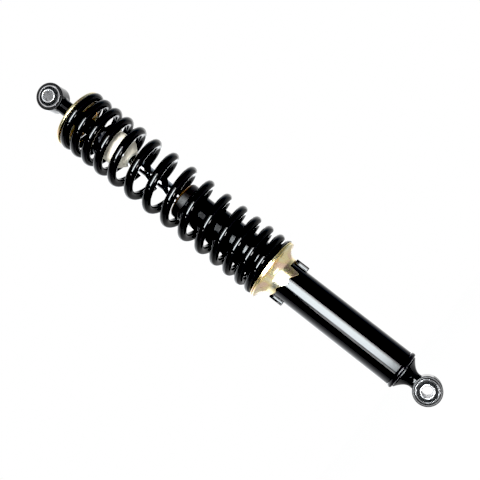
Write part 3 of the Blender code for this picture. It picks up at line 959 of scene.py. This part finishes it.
def add_world():
    """White to the eye; reflections find it bright all round but for a dark part in front."""
    world = bpy.data.worlds.new("studio")
    bpy.context.scene.world = world
    sky = Graph(world)
    sky.tree.nodes.clear()
    toward = sky.node("ShaderNodeTexCoord", output="Generated")
    across, deep, up = (sky.separated(toward, k) for k in range(3))
    around = sky.node("ShaderNodeMath", {"operation": "ARCTAN2"}, {0: across, 1: deep * -1.0})
    turn = around * (0.5 / math.pi) + 0.5
    level = sky.node("ShaderNodeValToRGB", {"stops": (
        (0.0, (2.2, 2.25, 2.3)), (0.17, (1.7, 1.75, 1.8)), (0.26, (0.75, 0.75, 0.75)),
        (0.31, (0.03, 0.03, 0.03)), (0.5, (0.02, 0.02, 0.02)), (0.66, (0.03, 0.03, 0.03)),
        (0.72, (0.13, 0.15, 0.17)), (0.83, (0.42, 0.45, 0.48)), (0.93, (1.3, 1.3, 1.3)),
    )}, {"Fac": turn})
    low = up.rising(-0.55, -0.85)
    high = up.rising(0.60, 0.90)
    lit = sky.node("ShaderNodeMix", {"data_type": "RGBA"}, {
        0: low * 0.5 + high * 0.5, 6: level, 7: (0.8, 0.8, 0.8)}, 2)
    seen = sky.node("ShaderNodeLightPath", output="Is Camera Ray")
    both = sky.node("ShaderNodeMix", {"data_type": "RGBA"}, {0: seen, 6: lit, 7: (1, 1, 1)}, 2)
    glow = sky.node("ShaderNodeBackground", None, {"Color": both})
    sky.node("ShaderNodeOutputWorld", None, {"Surface": glow}, None)


def set_levels():
    """Print-like levels: the faintest reflections on black paint drop to black."""
    view = bpy.context.scene.view_settings
    view.view_transform = "Standard"
    view.use_curve_mapping = True
    view.curve_mapping.black_level = (0.028, 0.028, 0.028)
    view.curve_mapping.update()


def add_floor():
    """A pale, evenly lit floor under the hanging shock."""
    height, half = -0.10, 3.0
    corners = [(-half, -half, height), (half, -half, height), (half, half, height),
               (-half, half, height)]
    mesh = bpy.data.meshes.new("studio_floor")
    mesh.from_pydata(corners, [], [(0, 1, 2, 3)])
    pale = Finish("pale_floor")
    seen = pale.node("ShaderNodeLightPath", output="Is Camera Ray")
    glow = pale.mix(seen, (0.50, 0.50, 0.50), (0.95, 0.95, 0.95))
    mesh.materials.append(pale.surface(
        base_color=(0.06, 0.06, 0.06), roughness=1.0, specular_ior_level=0.0,
        emission_color=glow, emission_strength=1.0,
    ))
    floor = bpy.data.objects.new("studio_floor", mesh)
    bpy.context.scene.collection.objects.link(floor)


def add_camera():
    """Looks at the shock from in front and a little below, rolled so that it lies diagonally."""
    aim = Vector((2.95 * MM, 0, 212 * MM))
    sideways = math.radians(4.5)
    distance, height = 0.81, 61 * MM
    eye = Vector((aim.x + distance * math.sin(sideways), -distance * math.cos(sideways), height))
    back = (eye - aim).normalized()
    along = (Vector((0, 0, 1)) - back * back.z).normalized()
    across = back.cross(along)
    slant = math.radians(180 - 37.93)
    right = along * math.cos(slant) - across * math.sin(slant)
    upward = along * math.sin(slant) + across * math.cos(slant)
    camera = bpy.data.cameras.new("camera")
    camera.lens = 67.9
    camera.sensor_width = 36.0
    camera.clip_start = 0.01
    obj = bpy.data.objects.new("camera", camera)
    obj.matrix_world = Matrix.Translation(eye) @ Matrix((right, upward, back)).transposed().to_4x4()
    bpy.context.scene.collection.objects.link(obj)
    bpy.context.scene.camera = obj


# name, azimuth, elevation, distance, width, height, power, colour, what it shows in
WHITE = (1.0, 1.0, 1.0)
COOL_WHITE = (0.90, 0.97, 1.0)
LIGHTS = (
    ("front_box", -4.5, -0.9, 1.0, 0.71, 0.38, 24, COOL_WHITE, "gloss"),
    ("soft_edge", 19.5, -0.9, 1.0, 0.12, 0.38, 2.1, WHITE, "gloss"),
    ("thin_strip", -34, -8, 1.0, 0.05, 0.26, 0.9, WHITE, "gloss"),
    ("low_lamp", 9, -49.5, 0.38, 0.07, 0.05, 0.35, WHITE, "gloss"),
    ("high_panel", -1, 24, 1.05, 0.66, 0.75, 2.2, WHITE, "gloss"),
    ("front_fill", 10, 12, 1.0, 0.6, 0.6, 27, WHITE, "matt"),
    ("left_fill", -95, 10, 1.4, 0.9, 0.9, 4, WHITE, "matt"),
    ("right_fill", 95, 20, 1.4, 0.9, 0.9, 3, WHITE, "matt"),
)


def add_lights():
    """A large soft box by the camera for the long highlights, and small lamps for the rest."""
    for light in LIGHTS:
        soft_box(*light)


def main():
    set_levels()
    spring_paint = black_spring_paint()
    tube_paint = black_tube_paint()
    forging = black_forging_paint("black_forging_paint")
    yellow, zinc, steel = yellow_zinc(), bright_zinc(), machined_steel()
    chrome, bronze, rubber = hard_chrome(), sintered_bronze(), bush_rubber()
    foam = cream_foam()
    rim_paint = brown_rim_paint(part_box("top_cap")[1].z)
    finish_hidden_nodes({
        "black_gloss_paint": tube_paint, "black_painted_forging": forging, "yellow_zinc": yellow,
        "clear_zinc": zinc, "machined_steel": steel, "hard_chrome": chrome,
        "sintered_bronze": bronze, "black_rubber": rubber, "cream_foam": foam,
        "brown_black_steel": rim_paint,
    })
    add_damper_tube(tube_paint)
    add_end_cap(tube_paint)
    add_lower_eye(black_forging_paint("lower_eye_paint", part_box("lower_bush_shell")[1].x + 1.2 * MM))
    add_top_cap(rim_paint, rubber)
    add_stop_lugs(forging)
    add_collar(yellow)
    add_seats(yellow)
    add_spring(spring_paint)
    add_rod(chrome)
    add_bump_stop(foam, steel, dark_steel())
    add_upper_eye(forging)
    for end in ("lower", "upper"):
        add_bush(end, steel, rubber, zinc)
    add_world()
    add_floor()
    add_lights()
    add_camera()


main()
